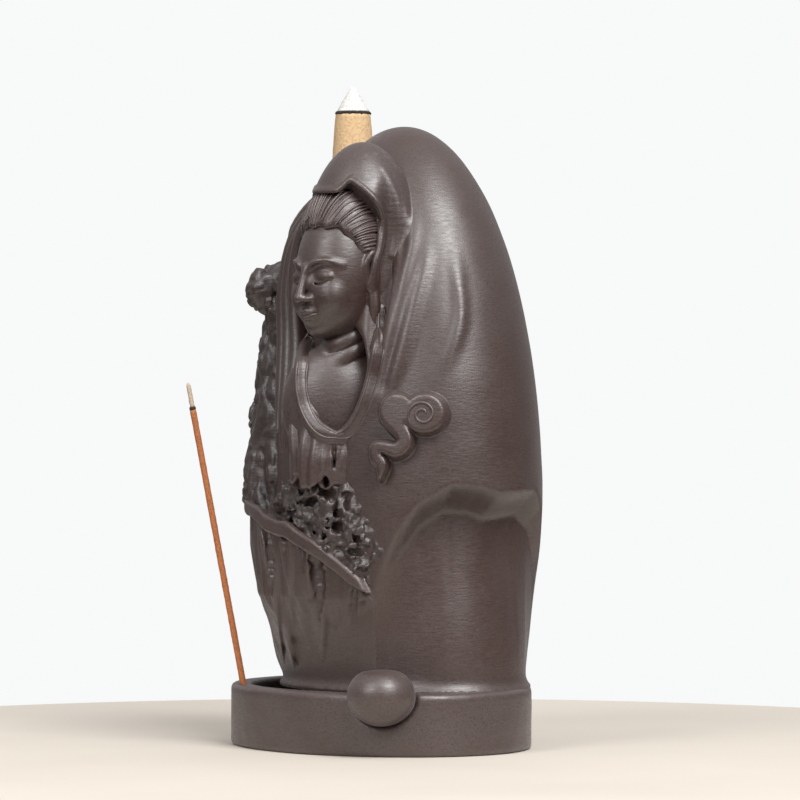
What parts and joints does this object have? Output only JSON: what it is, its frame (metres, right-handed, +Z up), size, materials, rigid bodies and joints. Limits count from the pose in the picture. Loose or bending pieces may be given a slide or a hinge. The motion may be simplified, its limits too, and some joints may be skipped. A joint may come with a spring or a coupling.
{
  "type": "backflow incense burner",
  "caption": "Unglazed clay burner shaped as a veiled bust over a falling rock stream, with a cone seat on the shoulder and a stick hole in the dish rim.",
  "frame": {"origin": "on the table, under the middle of the oval dish", "axes": "+Z up, -Y towards somebody who faces the figure, +X to that person's right"},
  "size_m": [0.1028, 0.0952, 0.1898],
  "materials": {
    "clay": "unglazed satin purple-brown clay",
    "tube_clay": "raw unglazed clay",
    "incense": "matte pressed incense paste",
    "stick_incense": "matte incense paste",
    "char": "burnt black",
    "ash": "pale loose ash",
    "stick_ash": "pale tan ash"
  },
  "bodies": {
    "burner": {"dish": "clay", "cloak": "clay", "cone_seat": "clay", "head": "clay", "hair": "clay", "bust": "clay", "veil": "clay", "left_lapel": "clay", "right_lapel": "clay", "robe": "clay", "boulder": "clay", "cliff": "clay", "water_ledge": "clay", "fall_face": "clay", "grotto_wall": "clay", "cloud": "clay", "rim_pebble": "clay", "smoke_tube": "tube_clay"},
    "cone": {"incense_cone": "incense", "cone_char": "char", "cone_ash": "ash"},
    "stick": {"incense_stick": "stick_incense", "stick_char": "char", "stick_ash": "stick_ash"}
  },
  "joints": [
    {"name": "cone_lift", "type": "slide", "parent": "burner", "child": "cone", "axis": [0, 0, 1], "range_m": [0, 0.035]},
    {"name": "stick_pull", "type": "slide", "parent": "burner", "child": "stick", "axis": [0, -0.2028, 0.9792], "range_m": [0, 0.03]}
  ]
}
